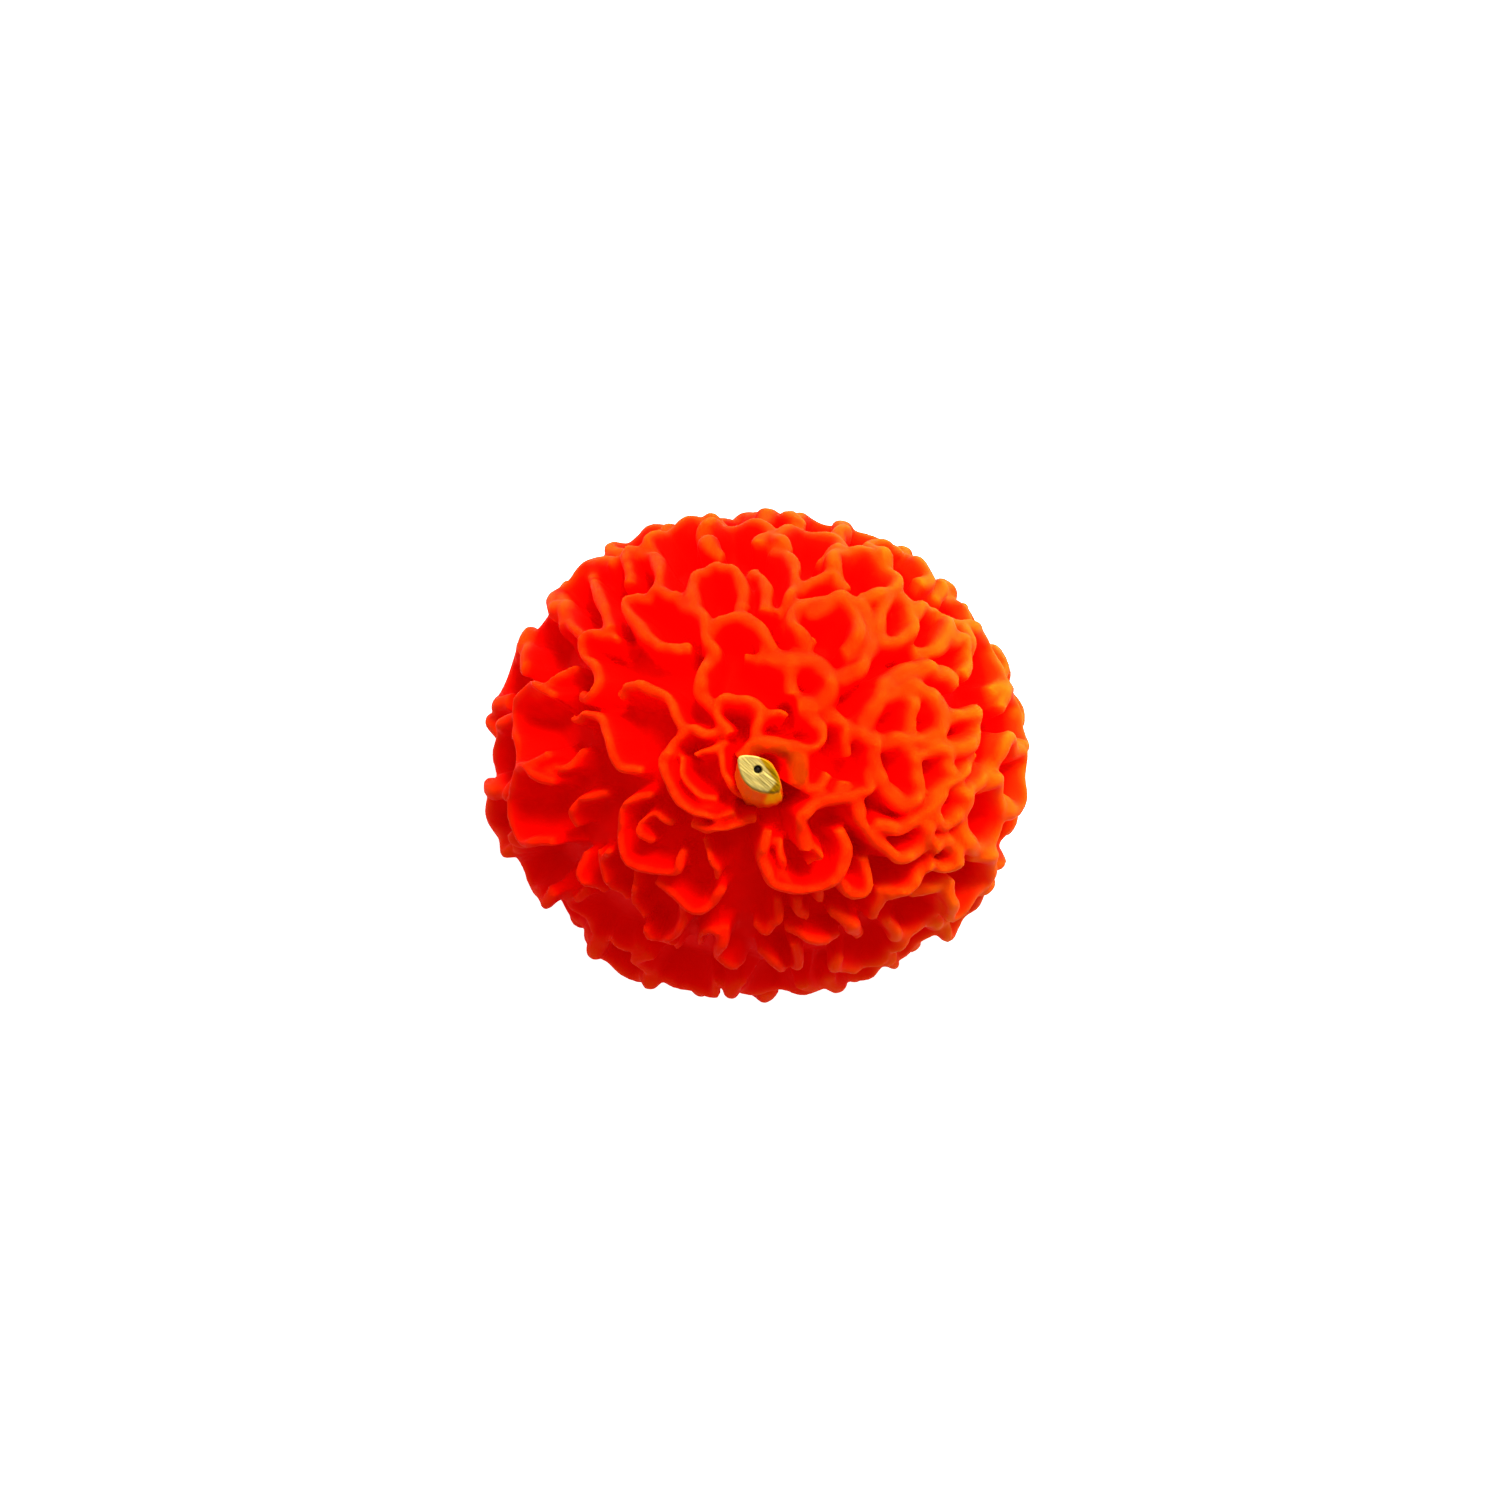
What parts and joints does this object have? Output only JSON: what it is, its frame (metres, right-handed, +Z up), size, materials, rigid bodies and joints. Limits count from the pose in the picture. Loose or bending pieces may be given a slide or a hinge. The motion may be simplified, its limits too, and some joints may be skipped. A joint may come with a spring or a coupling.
{
  "type": "marigold-shaped candle",
  "caption": "Small orange-red wax candle cast as a double marigold bloom: ruffled cup petals crowd a flat-based dome, and a short waxed wick with a dark core leans from its crown.",
  "frame": {"origin": "middle of the outline, on the surface the candle stands on", "axes": "+Z up through the bloom towards the wick's tip, +X along the outline's longer width, the crown set a little towards -Y"},
  "size_m": [0.0524, 0.0482, 0.0314],
  "materials": {
    "wax": "orange-red candle wax, satin, slightly translucent at the thin petal rims",
    "waxed_cotton": "cream braided cotton soaked in yellowish wax, cut across at the tip",
    "dark_core": "matt, nearly black"
  },
  "bodies": {
    "root": {"wax_bloom": "wax", "wick": "waxed_cotton", "wick_core": "dark_core"}
  },
  "joints": []
}
